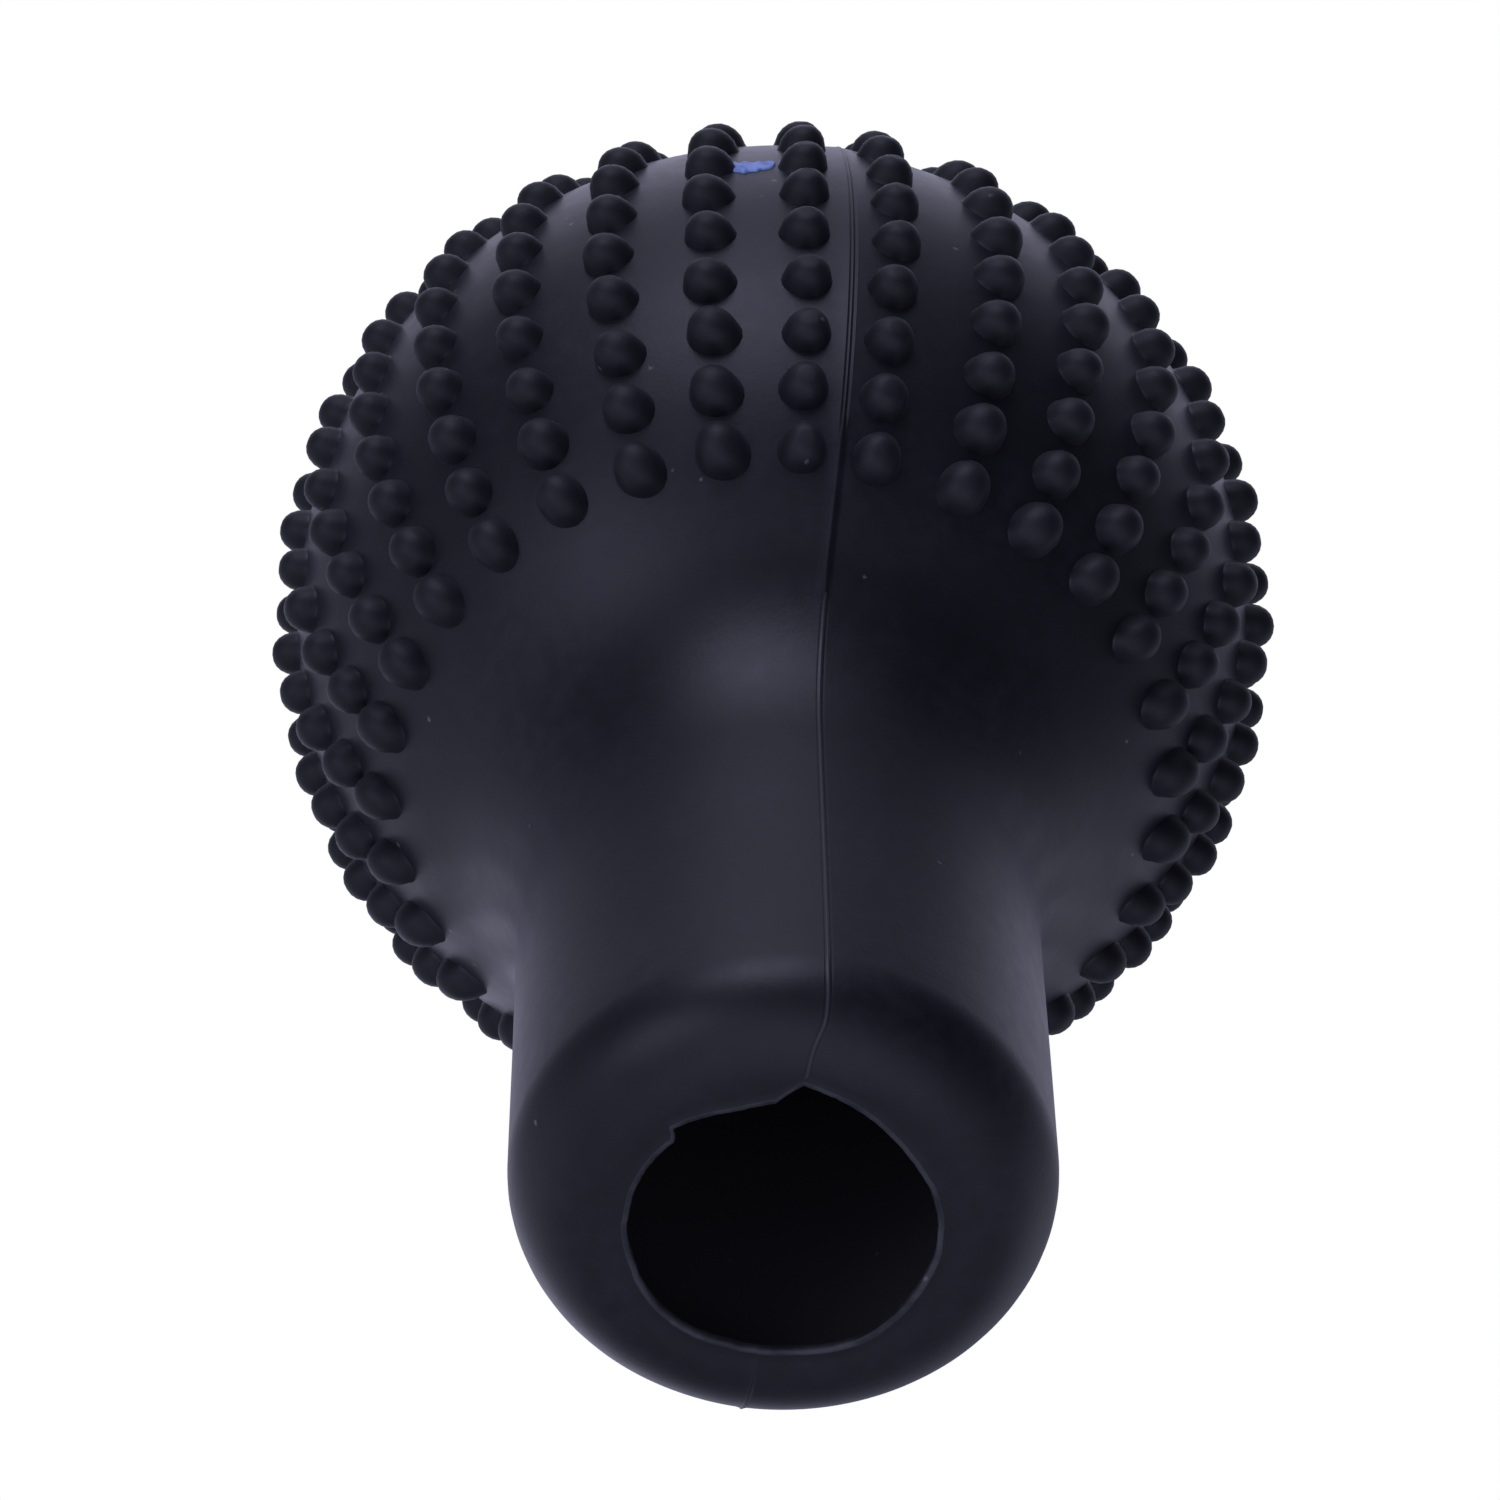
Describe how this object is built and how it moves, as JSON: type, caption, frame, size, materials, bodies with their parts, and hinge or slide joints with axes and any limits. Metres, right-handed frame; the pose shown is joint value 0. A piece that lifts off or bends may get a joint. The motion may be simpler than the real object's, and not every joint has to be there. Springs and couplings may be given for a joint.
{
  "type": "studded silicone ball sleeve",
  "caption": "Hollow moulded silicone sleeve: a ball set with rows of raised round beads, running into a short plain neck with a round open mouth.",
  "frame": {"origin": "centre of the mouth, on the plane of the rim that the sleeve stands on", "axes": "+Z along the neck towards the crown of the ball; the mould halves meet on the plane x = 0, with the front seam towards -Y"},
  "size_m": [0.0562, 0.056, 0.0813],
  "materials": {
    "silicone": "matt blue-black silicone with a fine satin skin"
  },
  "bodies": {
    "root": {"silicone_sleeve": "silicone"}
  },
  "joints": []
}
